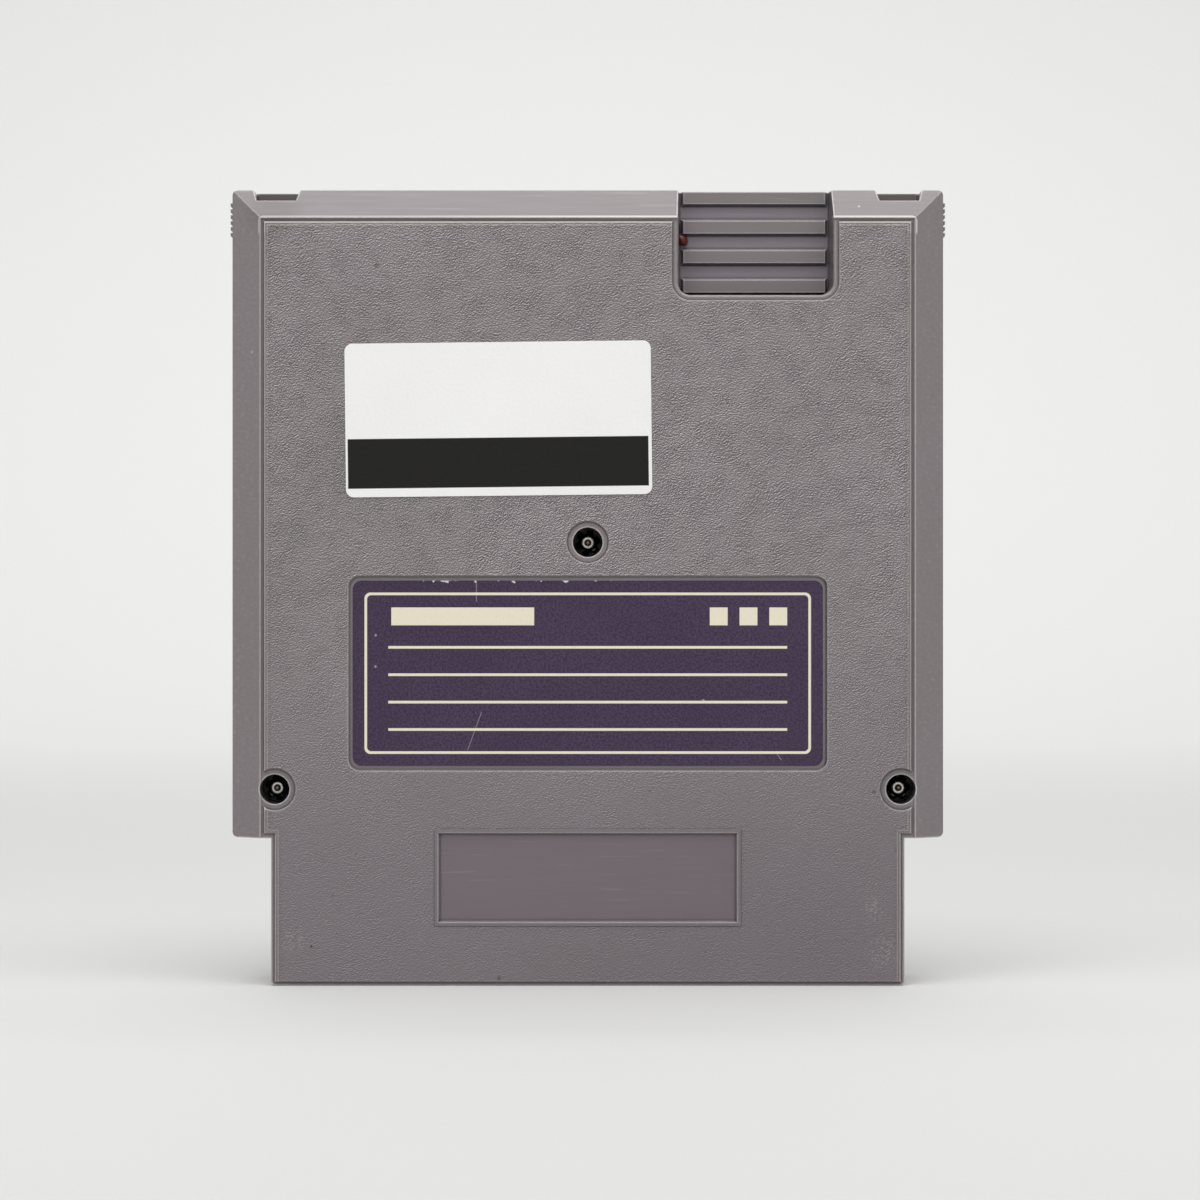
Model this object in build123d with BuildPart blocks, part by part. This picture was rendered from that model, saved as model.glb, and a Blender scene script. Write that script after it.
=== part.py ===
from build123d import *

import os
from math import atan, degrees, hypot, radians, tan

# A game cartridge: two moulded halves screwed together round a circuit board.
# It stands upright on its connector end. Z is up, X runs across the back as it is looked at,
# and Y runs from the back panel (negative) through the parting plane (zero) to the front face.
# A value named "level" is a distance from the parting plane.

# Overall shell
width = 120.0
height = 134.0
back_depth = 8.4
front_depth = 8.5
neck_width = 106.4
neck_height = 24.8
wall = 2.0
top_wall = 3.2
corner_radius = 0.9
front_edge_bevel = 0.6
seam_chamfer = 0.2

# Bevelled frame and raised panel of the back
bevel_width = 5.0
bevel_depth = 3.2
groove_width = 0.6
groove_depth = 0.25
groove_slope = 45.0
panel_rise = 0.4
panel_draft = 15.0
panel_edge = 0.12
neck_ledge = 0.6
shoulder_ledge = 0.75

# Recesses of the back panel
label_recess_width = 80.5
label_recess_height = 32.9
label_recess_z = 52.5
label_recess_radius = 2.0
label_recess_depth = 0.5
plate_recess_width = 50.2
plate_recess_height = 15.0
plate_recess_z = 18.2
plate_recess_depth = 0.45
plate_rim_width = 0.65
plate_rim_rise = 0.1
recess_slope = 30.0

# Finger pocket in the back's top edge, and the grip ribs of pocket and front column
pocket_x = 28.2
pocket_width = 26.3
pocket_reach = 18.0
pocket_radius = 2.2
pocket_depth = 6.5
pocket_draft = 4.0
pocket_border = 0.8
pocket_rim_bevel = 0.25
rib_pitch = 5.0
rib_base = 2.95
rib_flank = 0.4
rib_height = 0.9
rib_end_gap = 0.3
first_rib_drop = 1.0

# Screws, their wells in the back half and their posts in the front half
screw_inset = 7.4
screw_z = 33.0
centre_screw_z = 74.5
well_diameter = 5.0
well_wall = 1.7
well_ring_width = 0.95
head_seat_level = 0.9
shank_diameter = 2.7
shank_length = 6.4
shank_clearance = 0.25
thread_clearance = 0.05
head_diameter = 4.2
head_height = 2.0
head_notch_diameter = 1.0
head_notch_count = 6
head_notch_sides = 8
post_wall = 2.1
post_hole_spare = 0.5

# Hook tabs of the front half and their windows in the back half
hook_inset = 7.5
hook_window_width = 6.7
hook_window_depth = 1.9
hook_window_flare = 0.6
hook_length = 2.4
hook_top_drop = 0.3
hook_side_gap = 0.15
hook_floor_gap = 0.1

# Grip ridges on both sides near the top
side_ridge_count = 6
side_ridge_pitch = 1.0
side_ridge_width = 0.55
side_ridge_rise = 0.4
side_ridge_drop = 2.4
side_ridge_margin = 0.8

# Front face: ribbed grip column, bare label recess and moulded arrow
column_foot_z = 33.0
column_gap = 0.6
front_recess_width = 58.0
front_recess_foot_z = 46.0
front_recess_gap = 2.2
front_recess_depth = 0.5
front_recess_round = 1.2
top_recess_margin = 1.2
arrow_width = 9.0
arrow_height = 7.0
arrow_z = 16.0
arrow_depth = 0.4

# Circuit board, its pegs on the front half and its clamp posts on the back half
board_thickness = 1.2
board_side_gap = 1.7
board_foot_z = 7.0
board_top_gap = 7.5
board_foot_chamfer = 0.35
board_notch_gap = 0.4
peg_inset = 11.5
peg_drop = 6.5
peg_diameter = 2.6
peg_clearance = 0.2
peg_shoulder = 1.7
clamp_diameter = 6.0

# Edge contacts
contact_pitch = 2.5
contact_width = 1.7
contact_length = 11.0
contact_thickness = 0.05
contact_foot_gap = 0.6
contact_end_margin = 3.5

# Dual in-line chips and their leads
chip_z = 42.5
chip_standoff = 0.5
chip_thickness = 3.7
chip_draft = 8.0
chip_end_margin = 1.4
chip_notch_radius = 1.3
chip_notch_depth = 0.6
lead_pitch = 2.54
lead_arm = 0.8
lead_thickness = 0.25
lead_width = 0.5
lead_hole_diameter = 1.0
lead_hole_sides = 4
lead_tail = 1.4
rom_pin_count = 14
rom_row_spacing = 15.24
lockout_pin_count = 8
lockout_row_spacing = 7.62
program_rom_x = -24.0
graphics_rom_x = -1.0
lockout_chip_x = 19.0

# Electrolytic can lying on the board, and two ceramic discs standing on it
can_inset = 16.5
can_z = 43.0
can_diameter = 5.0
can_length = 10.0
can_groove_drop = 1.6
can_groove_width = 0.6
can_groove_depth = 0.25
can_lead_spacing = 2.0
can_lead_run = 2.0
wire_diameter = 0.55
wire_sides = 6
disc_xs = (-12.5, 10.5)
disc_drop = 3.4
disc_diameter = 4.0
disc_thickness = 2.2
disc_standoff = 0.6
disc_lead_spacing = 2.5

# Label and sticker
label_side_gap = 0.75
label_end_gap = 0.9
label_radius = 1.5
label_thickness = 0.12
sticker_width = 51.4
sticker_height = 25.8
sticker_x = -15.0
sticker_z = 95.2
sticker_turn = 0.65
sticker_radius = 1.3
sticker_thickness = 0.1

# Sizes that follow from the ones above
ledge_level = back_depth - panel_rise
rim_level = ledge_level + groove_depth
back_cavity_level = back_depth - wall
front_cavity_level = front_depth - wall
bevel_slope = bevel_depth / bevel_width
bevel_foot_level = rim_level - bevel_depth
core_bevel_foot = bevel_foot_level + wall * bevel_slope - wall * hypot(1, bevel_slope)
core_bevel_depth = back_cavity_level - core_bevel_foot
core_bevel_width = core_bevel_depth / bevel_slope
panel_width = width - 2 * (bevel_width + groove_width)
panel_top_z = height - bevel_width - groove_width
panel_shoulder_z = neck_height + shoulder_ledge
pocket_level = back_depth - pocket_depth
pocket_foot_z = height - pocket_reach
rib_taper = degrees(atan(rib_flank / rib_height))
rib_length = pocket_width - 2 * (pocket_depth * tan(radians(pocket_draft)) + rib_end_gap)
column_width = rib_length + 2 * column_gap
front_recess_x = pocket_x - column_width / 2 - front_recess_gap - front_recess_width / 2
screw_x = width / 2 - screw_inset
screw_places = [(-screw_x, screw_z), (screw_x, screw_z), (0, centre_screw_z)]
well_tube_radius = well_diameter / 2 + well_wall
hook_x = width / 2 - hook_inset
board_face = board_thickness / 2
board_width = neck_width - 2 * wall - 2 * board_side_gap
board_top_z = centre_screw_z - board_top_gap
peg_x = board_width / 2 - peg_inset
peg_places = [(-peg_x, board_top_z - peg_drop), (peg_x, board_top_z - peg_drop)]
contact_count = int((board_width - 2 * contact_end_margin) / contact_pitch)
chip_mid_level = board_face + chip_standoff + chip_thickness / 2
can_x = board_width / 2 - can_inset
can_level = board_face + can_diameter / 2
can_foot_z = can_z - can_length / 2
can_hole_z = can_foot_z - can_lead_run
disc_level = board_face + disc_standoff + disc_diameter / 2
disc_z = board_top_z - disc_drop
floor_up = (Align.CENTER, Align.MIN)

os.makedirs("parts", exist_ok=True)


def save(builder, name):
    """Label a finished piece and write it under its own name."""
    builder.part.label = name
    export_step(builder.part, f"parts/{name}.step")


def side_ridges():
    """Small bars half sunk in both side walls, drawn into the current sketch."""
    for number in range(side_ridge_count):
        with Locations((0, height - side_ridge_drop - number * side_ridge_pitch)):
            with GridLocations(width, 0, 2, 1):
                Rectangle(2 * side_ridge_rise, side_ridge_width)


def grip_ribs(reach):
    """Bases of the ribs from the top edge down, as many as fit, drawn into the current sketch."""
    for number in range(int((reach - first_rib_drop - rib_base / 2) / rib_pitch) + 1):
        with Locations((pocket_x, height - first_rib_drop - number * rib_pitch)):
            Rectangle(rib_length, rib_base)


def front_block(block_width, foot_z, top_z):
    """A solid block of the front half, with rounded corners and bevelled edges."""
    with BuildPart() as block:
        with BuildSketch(Plane.XZ):
            with Locations((0, foot_z)):
                Rectangle(block_width, top_z - foot_z, align=floor_up)
        extrude(amount=-front_depth)
        fillet(block.edges().filter_by(Axis.Y), corner_radius)
        chamfer(block.faces().sort_by(Axis.Y)[-1].edges(), front_edge_bevel)
        chamfer(block.faces().sort_by(Axis.Y)[0].edges(), seam_chamfer)
    return block.part


def lead_places(x, pins, row_spacing):
    """Centres of a chip's lead holes, row by row, across the board and up it."""
    first_z = chip_z - (pins - 1) / 2 * lead_pitch
    return [(x + side * row_spacing / 2, first_z + n * lead_pitch) for side in (-1, 1) for n in range(pins)]


def wire_places(x, z, spacing):
    """Centres of the two lead holes of a capacitor."""
    return [(x - spacing / 2, z), (x + spacing / 2, z)]


def chip(name, x, pins, row_spacing):
    """A chip's moulded body and, as a piece of its own, its bent leads."""
    body_width = row_spacing - 2 * lead_arm
    body_length = (pins - 1) * lead_pitch + 2 * chip_end_margin
    with BuildPart() as body:
        with BuildSketch(Plane.XZ.offset(chip_mid_level)):
            with Locations((x, chip_z)):
                Rectangle(body_width, body_length)
        extrude(amount=chip_thickness / 2, both=True, taper=chip_draft)
        with BuildSketch(Plane.XZ.offset(chip_mid_level + chip_thickness / 2)):
            with Locations((x, chip_z + body_length / 2)):
                Circle(chip_notch_radius)
        extrude(amount=-chip_notch_depth, mode=Mode.SUBTRACT)
    save(body, name)

    with BuildPart() as leads:
        places = lead_places(x, pins, row_spacing)
        with BuildSketch(Plane.XZ.offset(chip_mid_level - lead_thickness / 2)):
            for side in (-1, 1):
                arm_x = x + side * (row_spacing - lead_arm) / 2
                with Locations(*[(arm_x, z) for _, z in places[:pins]]):
                    Rectangle(lead_arm, lead_width)
        extrude(amount=lead_thickness)
        with BuildSketch(Plane.XZ.offset(-board_face - lead_tail)):
            with Locations(*places):
                Rectangle(lead_thickness, lead_width)
        extrude(amount=board_face + lead_tail + chip_mid_level + lead_thickness / 2)
    save(leads, f"{name}_leads")


# Core that hollows the back half, its upper edges following the bevels at wall distance
with BuildPart() as back_core:
    with BuildSketch(Plane.XZ):
        with Locations((0, neck_height + wall)):
            Rectangle(width - 2 * wall, height - top_wall - neck_height - wall, align=floor_up)
    extrude(amount=back_cavity_level)
    core_face = back_core.faces().sort_by(Axis.Y)[0]
    core_edges = core_face.edges().sort_by(Axis.Z)[1:]
    chamfer(core_edges, length=core_bevel_width, length2=core_bevel_depth, reference=core_face)
    with BuildSketch(Plane.XZ):
        Rectangle(neck_width - 2 * wall, neck_height + 2 * wall, align=floor_up)
    extrude(amount=back_cavity_level)

# Back half of the shell
with BuildPart() as back_shell:
    # Upper body with bevels along its sides and top
    with BuildSketch(Plane.XZ):
        with Locations((0, neck_height)):
            Rectangle(width, height - neck_height, align=floor_up)
    extrude(amount=rim_level)
    rim_face = back_shell.faces().sort_by(Axis.Y)[0]
    bevelled_edges = rim_face.edges().sort_by(Axis.Z)[1:]
    chamfer(bevelled_edges, length=bevel_width, length2=bevel_depth, reference=rim_face)
    fillet(back_shell.edges().filter_by(Axis.Y), corner_radius)

    # Neck below the shoulders, one step lower
    with BuildSketch(Plane.XZ):
        Rectangle(neck_width, neck_height + wall, align=floor_up)
    extrude(amount=ledge_level)
    fillet(back_shell.edges().filter_by(Axis.Y).group_by(Axis.Z)[0], corner_radius)
    chamfer(back_shell.faces().sort_by(Axis.Y)[-1].edges(), seam_chamfer)

    # Groove between the bevels and the panel, open at the shoulders
    with BuildSketch(Plane.XZ.offset(rim_level)):
        with Locations((0, neck_height - wall)):
            Rectangle(width - 2 * bevel_width, height - bevel_width - neck_height + wall, align=floor_up)
    extrude(amount=-groove_depth, taper=groove_slope, mode=Mode.SUBTRACT)

    # Raised panel, cut back round the pocket and the screw wells
    with BuildSketch(Plane.XZ.offset(ledge_level)):
        with Locations((0, panel_shoulder_z)):
            Rectangle(panel_width, panel_top_z - panel_shoulder_z, align=floor_up)
        with Locations((0, neck_ledge)):
            Rectangle(neck_width - 2 * neck_ledge, panel_shoulder_z, align=floor_up)
        with Locations((pocket_x, pocket_foot_z - pocket_border)):
            RectangleRounded(
                pocket_width + 2 * pocket_border,
                2 * pocket_reach,
                pocket_radius + pocket_border,
                align=floor_up,
                mode=Mode.SUBTRACT,
            )
        with Locations(*screw_places):
            Circle(well_diameter / 2 + well_ring_width, mode=Mode.SUBTRACT)
    extrude(amount=panel_rise, taper=panel_draft)
    chamfer(back_shell.faces().sort_by(Axis.Y)[0].edges(), panel_edge)

    # Thin rim round the bare plate, then the two shallow recesses
    with BuildSketch(Plane.XZ.offset(back_depth)):
        with Locations((0, plate_recess_z)):
            Rectangle(plate_recess_width + 2 * plate_rim_width, plate_recess_height + 2 * plate_rim_width)
    extrude(amount=plate_rim_rise, taper=recess_slope)
    with BuildSketch(Plane.XZ.offset(back_depth + plate_rim_rise)):
        with Locations((0, plate_recess_z)):
            Rectangle(plate_recess_width, plate_recess_height)
    extrude(amount=-plate_recess_depth - plate_rim_rise, taper=recess_slope, mode=Mode.SUBTRACT)
    with BuildSketch(Plane.XZ.offset(back_depth)):
        with Locations((0, label_recess_z)):
            RectangleRounded(label_recess_width, label_recess_height, label_recess_radius)
    extrude(amount=-label_recess_depth, taper=recess_slope, mode=Mode.SUBTRACT)

    # Hollow inside
    add(back_core.part, mode=Mode.SUBTRACT)

    # Tubes round the screws, and posts that clamp the board on its pegs
    with BuildSketch(Plane.XZ):
        with Locations(*screw_places):
            Circle(well_tube_radius)
    extrude(amount=back_cavity_level)
    with BuildSketch(Plane.XZ.offset(board_face)):
        with Locations(*peg_places):
            Circle(clamp_diameter / 2)
    extrude(amount=back_cavity_level - board_face)

    # Screw wells and the holes for the shanks
    with BuildSketch(Plane.XZ.offset(head_seat_level)):
        with Locations(*screw_places):
            Circle(well_diameter / 2)
    extrude(amount=back_depth, mode=Mode.SUBTRACT)
    with BuildSketch(Plane.XZ):
        with Locations(*screw_places):
            Circle(shank_diameter / 2 + shank_clearance)
    extrude(amount=back_depth, mode=Mode.SUBTRACT)

    # Finger pocket: a block inside the hollow, the drafted pocket, and its ribs
    with BuildSketch(Plane.XZ):
        with Locations((pocket_x, pocket_foot_z - wall)):
            Rectangle(pocket_width + 2 * wall, pocket_reach + wall - top_wall, align=floor_up)
    extrude(amount=back_cavity_level)
    with BuildSketch(Plane.XZ.offset(back_depth)):
        with Locations((pocket_x, pocket_foot_z)):
            RectangleRounded(pocket_width, 2 * pocket_reach, pocket_radius, align=floor_up)
    extrude(amount=-pocket_depth, taper=pocket_draft, mode=Mode.SUBTRACT)
    pocket_left = pocket_x - pocket_width / 2
    rim_edges = (
        back_shell.edges()
        .filter_by_position(Axis.Y, -ledge_level, -ledge_level)
        .filter_by_position(Axis.X, pocket_left, pocket_left + pocket_width)
        .filter_by_position(Axis.Z, pocket_foot_z, height)
        .filter_by(lambda edge: edge.geom_type == GeomType.LINE or edge.radius < pocket_radius)
    )
    chamfer(rim_edges, pocket_rim_bevel)
    with BuildSketch(Plane.XZ.offset(pocket_level)):
        grip_ribs(pocket_reach)
    extrude(amount=rib_height, taper=rib_taper)
    split(bisect_by=Plane.XY.offset(height), keep=Keep.BOTTOM)

    # Windows for the hook tabs, flared upwards
    with BuildSketch(Plane.XZ):
        for side in (-1, 1):
            with Locations((side * hook_x, height - hook_window_depth)):
                Polygon(
                    (-hook_window_width / 2, 0),
                    (hook_window_width / 2, 0),
                    (hook_window_width / 2 + hook_window_flare, hook_window_depth),
                    (-hook_window_width / 2 - hook_window_flare, hook_window_depth),
                    align=None,
                )
    extrude(amount=back_depth, mode=Mode.SUBTRACT)

    # Grip ridges, ending short of the bevels
    with BuildSketch(Plane.XZ.offset(seam_chamfer)):
        side_ridges()
    extrude(amount=bevel_foot_level - seam_chamfer - side_ridge_margin)

save(back_shell, "back_shell")

# Front half of the shell
front_body = front_block(width, neck_height, height)
front_neck = front_block(neck_width, 0, neck_height + wall)

with BuildPart() as front_shell:
    # Body, with the neck reaching into it
    add(front_body)
    add(front_neck)

    # Hollow inside, open at the foot
    with BuildSketch(Plane.XZ):
        with Locations((0, neck_height + wall)):
            Rectangle(width - 2 * wall, height - top_wall - neck_height - wall, align=floor_up)
        Rectangle(neck_width - 2 * wall, neck_height + 2 * wall, align=floor_up)
    extrude(amount=-front_cavity_level, mode=Mode.SUBTRACT)

    # Bare label recess that folds over the top edge
    with BuildSketch(Plane.XZ.offset(-front_depth)):
        with Locations((front_recess_x, front_recess_foot_z)):
            Rectangle(front_recess_width, height, align=floor_up)
    extrude(amount=front_recess_depth, mode=Mode.SUBTRACT)
    with BuildSketch(Plane.XY.offset(height)):
        with Locations((front_recess_x, top_recess_margin)):
            Rectangle(front_recess_width, front_depth, align=floor_up)
    extrude(amount=-front_recess_depth, mode=Mode.SUBTRACT)
    recess_top = height - front_recess_depth
    folded_edges = front_shell.edges().filter_by(Axis.X).filter_by_position(Axis.Z, recess_top, recess_top)
    fillet(folded_edges.sort_by(Axis.Y)[-1], front_recess_round)

    # Ribbed grip column in a channel that runs down from the top edge
    with BuildSketch(Plane.XZ.offset(-front_depth)):
        with Locations((pocket_x, column_foot_z)):
            Rectangle(column_width, height, align=floor_up)
    extrude(amount=rib_height, mode=Mode.SUBTRACT)
    with BuildSketch(Plane.XZ.offset(rib_height - front_depth)):
        grip_ribs(height - column_foot_z)
    extrude(amount=-rib_height, taper=rib_taper)
    split(bisect_by=Plane.XY.offset(height), keep=Keep.BOTTOM)

    # Moulded arrow that points to the connector end
    with BuildSketch(Plane.XZ.offset(-front_depth)):
        with Locations((0, arrow_z)):
            Polygon((-arrow_width / 2, arrow_height), (0, 0), (arrow_width / 2, arrow_height), align=None)
    extrude(amount=arrow_depth, mode=Mode.SUBTRACT)

    # Posts for the screws, and shouldered pegs that carry the board
    with BuildSketch(Plane.XZ):
        with Locations(*screw_places):
            Circle(shank_diameter / 2 + post_wall)
    extrude(amount=-front_cavity_level)
    with BuildSketch(Plane.XZ):
        with Locations(*screw_places):
            Circle(shank_diameter / 2 + thread_clearance)
    extrude(amount=head_seat_level - shank_length - post_hole_spare, mode=Mode.SUBTRACT)
    with BuildSketch(Plane.XZ.offset(-board_face)):
        with Locations(*peg_places):
            Circle(peg_diameter / 2 + peg_shoulder)
    extrude(amount=board_face - front_cavity_level)
    with BuildSketch(Plane.XZ.offset(-board_face)):
        with Locations(*peg_places):
            Circle(peg_diameter / 2)
    extrude(amount=board_thickness)

    # Hook tabs that reach into the windows of the back half
    with BuildSketch(Plane.XZ.offset(-wall)):
        for side in (-1, 1):
            with Locations((side * hook_x, height - hook_window_depth + hook_floor_gap)):
                Rectangle(
                    hook_window_width - 2 * hook_side_gap,
                    hook_window_depth - hook_floor_gap - hook_top_drop,
                    align=floor_up,
                )
    extrude(amount=wall + hook_length)

    # Grip ridges, ending short of the front edge
    with BuildSketch(Plane.XZ.offset(-seam_chamfer)):
        side_ridges()
    extrude(amount=seam_chamfer + front_edge_bevel + side_ridge_margin - front_depth)

save(front_shell, "front_shell")

# Three security screws with notched heads
with BuildPart() as screws:
    with BuildSketch(Plane.XZ.offset(head_seat_level)):
        with Locations(*screw_places):
            Circle(head_diameter / 2)
            with PolarLocations(head_diameter / 2, head_notch_count):
                RegularPolygon(head_notch_diameter / 2, head_notch_sides, mode=Mode.SUBTRACT)
    extrude(amount=head_height)
    with BuildSketch(Plane.XZ.offset(head_seat_level)):
        with Locations(*screw_places):
            Circle(shank_diameter / 2)
    extrude(amount=-shank_length)

save(screws, "screws")

# Circuit board with notches for the screw posts and holes for pegs and leads
lead_holes = (
    lead_places(program_rom_x, rom_pin_count, rom_row_spacing)
    + lead_places(graphics_rom_x, rom_pin_count, rom_row_spacing)
    + lead_places(lockout_chip_x, lockout_pin_count, lockout_row_spacing)
    + wire_places(can_x, can_hole_z, can_lead_spacing)
)
for disc_x in disc_xs:
    lead_holes += wire_places(disc_x, disc_z, disc_lead_spacing)

with BuildPart() as circuit_board:
    with BuildSketch(Plane.XZ.offset(-board_face)):
        with Locations((0, board_foot_z)):
            Rectangle(board_width, board_top_z - board_foot_z, align=floor_up)
        with Locations(*screw_places):
            Circle(well_tube_radius + board_notch_gap, mode=Mode.SUBTRACT)
        with Locations(*peg_places):
            Circle(peg_diameter / 2 + peg_clearance, mode=Mode.SUBTRACT)
        with Locations(*lead_holes):
            RegularPolygon(lead_hole_diameter / 2, lead_hole_sides, mode=Mode.SUBTRACT)
    extrude(amount=board_thickness)
    foot_edges = circuit_board.faces().sort_by(Axis.Z)[0].edges().filter_by(Axis.X)
    chamfer(foot_edges, board_foot_chamfer)

save(circuit_board, "circuit_board")

# Gold contacts along the foot of the board, on both faces
for name, side in (("contacts_back", 1), ("contacts_front", -1)):
    with BuildPart() as contacts:
        with BuildSketch(Plane.XZ.offset(side * board_face)):
            with Locations((0, board_foot_z + contact_foot_gap + contact_length / 2)):
                with GridLocations(contact_pitch, 0, contact_count, 1):
                    Rectangle(contact_width, contact_length)
        extrude(amount=side * contact_thickness)
    save(contacts, name)

# Chips on the back face of the board
chip("program_rom", program_rom_x, rom_pin_count, rom_row_spacing)
chip("graphics_rom", graphics_rom_x, rom_pin_count, rom_row_spacing)
chip("lockout_chip", lockout_chip_x, lockout_pin_count, lockout_row_spacing)

# Electrolytic can, with the crimp near its foot
with BuildPart() as electrolytic_capacitor:
    with BuildSketch(Plane.XY.offset(can_foot_z)):
        with Locations((can_x, -can_level)):
            Circle(can_diameter / 2)
    extrude(amount=can_length)
    with BuildSketch(Plane.XY.offset(can_foot_z + can_groove_drop)):
        with Locations((can_x, -can_level)):
            Circle(can_diameter)
            Circle(can_diameter / 2 - can_groove_depth, mode=Mode.SUBTRACT)
    extrude(amount=can_groove_width, mode=Mode.SUBTRACT)

save(electrolytic_capacitor, "electrolytic_capacitor")

# Leads of the can, bent into the board
with BuildPart() as electrolytic_leads:
    for wire_x, _ in wire_places(can_x, can_hole_z, can_lead_spacing):
        with BuildLine(Plane.YZ.offset(wire_x)) as bend:
            Polyline(
                (-can_level, can_foot_z),
                (-can_level, can_hole_z),
                (board_face + lead_tail, can_hole_z),
            )
        with BuildSketch(Plane(origin=bend.line @ 0, z_dir=bend.line % 0)):
            RegularPolygon(wire_diameter / 2, wire_sides)
        sweep(transition=Transition.RIGHT)

save(electrolytic_leads, "electrolytic_leads")

# Ceramic discs standing near the top of the board
with BuildPart() as ceramic_capacitors:
    with BuildSketch(Plane.XY.offset(disc_z - disc_thickness / 2)):
        with Locations(*[(disc_x, -disc_level) for disc_x in disc_xs]):
            Circle(disc_diameter / 2)
    extrude(amount=disc_thickness)

save(ceramic_capacitors, "ceramic_capacitors")

# Leads of the discs, each ending on its disc
with BuildPart() as ceramic_leads:
    with BuildSketch(Plane.XZ.offset(-board_face - lead_tail)):
        for disc_x in disc_xs:
            with Locations(*wire_places(disc_x, disc_z, disc_lead_spacing)):
                RegularPolygon(wire_diameter / 2, wire_sides)
    extrude(amount=board_face + lead_tail + disc_level)
    add(ceramic_capacitors.part, mode=Mode.SUBTRACT)

save(ceramic_leads, "ceramic_leads")

# Label on the floor of its recess
with BuildPart() as back_label:
    with BuildSketch(Plane.XZ.offset(back_depth - label_recess_depth)):
        with Locations((0, label_recess_z)):
            RectangleRounded(
                label_recess_width - 2 * label_side_gap,
                label_recess_height - 2 * label_end_gap,
                label_radius,
            )
    extrude(amount=label_thickness)

save(back_label, "back_label")

# Paper sticker on the panel, put on slightly askew
with BuildPart() as paper_sticker:
    with BuildSketch(Plane.XZ.offset(back_depth)):
        with Locations((sticker_x, sticker_z)):
            RectangleRounded(sticker_width, sticker_height, sticker_radius, rotation=sticker_turn)
    extrude(amount=sticker_thickness)

save(paper_sticker, "paper_sticker")
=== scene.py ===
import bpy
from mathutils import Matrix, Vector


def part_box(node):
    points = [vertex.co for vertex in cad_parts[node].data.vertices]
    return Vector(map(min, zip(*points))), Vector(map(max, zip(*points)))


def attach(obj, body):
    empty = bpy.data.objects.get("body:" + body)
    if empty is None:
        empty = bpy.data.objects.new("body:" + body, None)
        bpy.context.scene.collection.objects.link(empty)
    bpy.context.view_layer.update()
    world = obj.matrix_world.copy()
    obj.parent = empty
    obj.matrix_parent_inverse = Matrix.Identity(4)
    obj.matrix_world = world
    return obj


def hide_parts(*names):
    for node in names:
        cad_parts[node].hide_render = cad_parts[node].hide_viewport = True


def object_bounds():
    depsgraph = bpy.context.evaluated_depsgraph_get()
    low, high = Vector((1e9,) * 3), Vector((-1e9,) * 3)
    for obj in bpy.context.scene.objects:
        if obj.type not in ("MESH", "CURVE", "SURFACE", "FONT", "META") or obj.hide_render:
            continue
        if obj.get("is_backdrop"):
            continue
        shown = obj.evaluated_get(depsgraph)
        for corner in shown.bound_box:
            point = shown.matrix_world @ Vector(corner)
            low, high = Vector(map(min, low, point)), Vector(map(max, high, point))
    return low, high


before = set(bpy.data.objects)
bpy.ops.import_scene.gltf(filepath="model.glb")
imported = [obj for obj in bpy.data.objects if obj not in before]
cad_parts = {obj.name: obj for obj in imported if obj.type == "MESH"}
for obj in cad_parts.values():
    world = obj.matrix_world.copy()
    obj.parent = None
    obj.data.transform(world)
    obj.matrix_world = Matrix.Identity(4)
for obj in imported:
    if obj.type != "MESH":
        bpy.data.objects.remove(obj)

from inspect import signature
from math import cos, pi, radians, sin, sqrt

import bmesh
import bpy
from bpy.props import FloatProperty, FloatVectorProperty, PointerProperty
from bpy.types import NodeSocket, Operator, Panel, PropertyGroup
from mathutils import Vector

bl_info = {
    "name": "Game Cartridge Looks",
    "version": (1, 0, 0),
    "blender": (4, 5, 0),
    "location": "View3D > Sidebar > Cartridge",
    "description": "Finishes a game cartridge in grained plastic, printed paper and metal, on a pale stage",
    "category": "Object",
}

# Lengths are metres in the part's own frame: +X right, +Z up, and the back panel faces -Y.
# A field on the back is its X and Z, half width and half height. A spot is its X and Z and its radius.
MM = 0.001
CAD_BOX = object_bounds()
BACK_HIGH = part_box("back_shell")[1]
FRONT_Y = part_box("front_shell")[1].y
LABEL_LOW, LABEL_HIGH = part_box("back_label")
STICKER_LOW, STICKER_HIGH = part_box("paper_sticker")
BOARD_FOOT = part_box("circuit_board")[0].z
LABEL_CENTRE = (LABEL_LOW + LABEL_HIGH) / 2
STICKER_CENTRE = (STICKER_LOW + STICKER_HIGH) / 2
PANEL_Y = STICKER_HIGH.y
LEVEL_TOLERANCE = 0.04 * MM
PAPER_EDGE = 0.01 * MM

# Outline of the grained panel: the broad upper field, and the neck below it, which runs past both its ends
PANEL_TOP = BACK_HIGH.z - 5.6 * MM
PANEL_SHOULDER = 25.5 * MM
PANEL_HALF_WIDTH = 54.4 * MM
NECK_HALF_WIDTH = 52.6 * MM
NECK_FOOT = 0.6 * MM
NECK_OVERLAP = 4.0 * MM

# Painted highlights along the panel's edge, the step inside it and the bevel above it, measured in from its
# outline
PANEL_EDGE_INSET = 0.1 * MM
PANEL_STEP_INSET = 0.62 * MM
BEVEL_INSET = -0.85 * MM
PANEL_LINE = 0.12 * MM

# Where the grain starts and is full, in from that outline and up the panel, and the slope that tints a pebble
BACK_GRAIN = (0.1 * MM, 0.6 * MM)
FRONT_GRAIN = (-4.2 * MM, -3.2 * MM)
GRAIN_UP = (20.0 * MM, 85.0 * MM)
LIT_SLOPE = (0.02, 0.2)
SHADED_SLOPE = (-0.02, -0.2)

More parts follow.
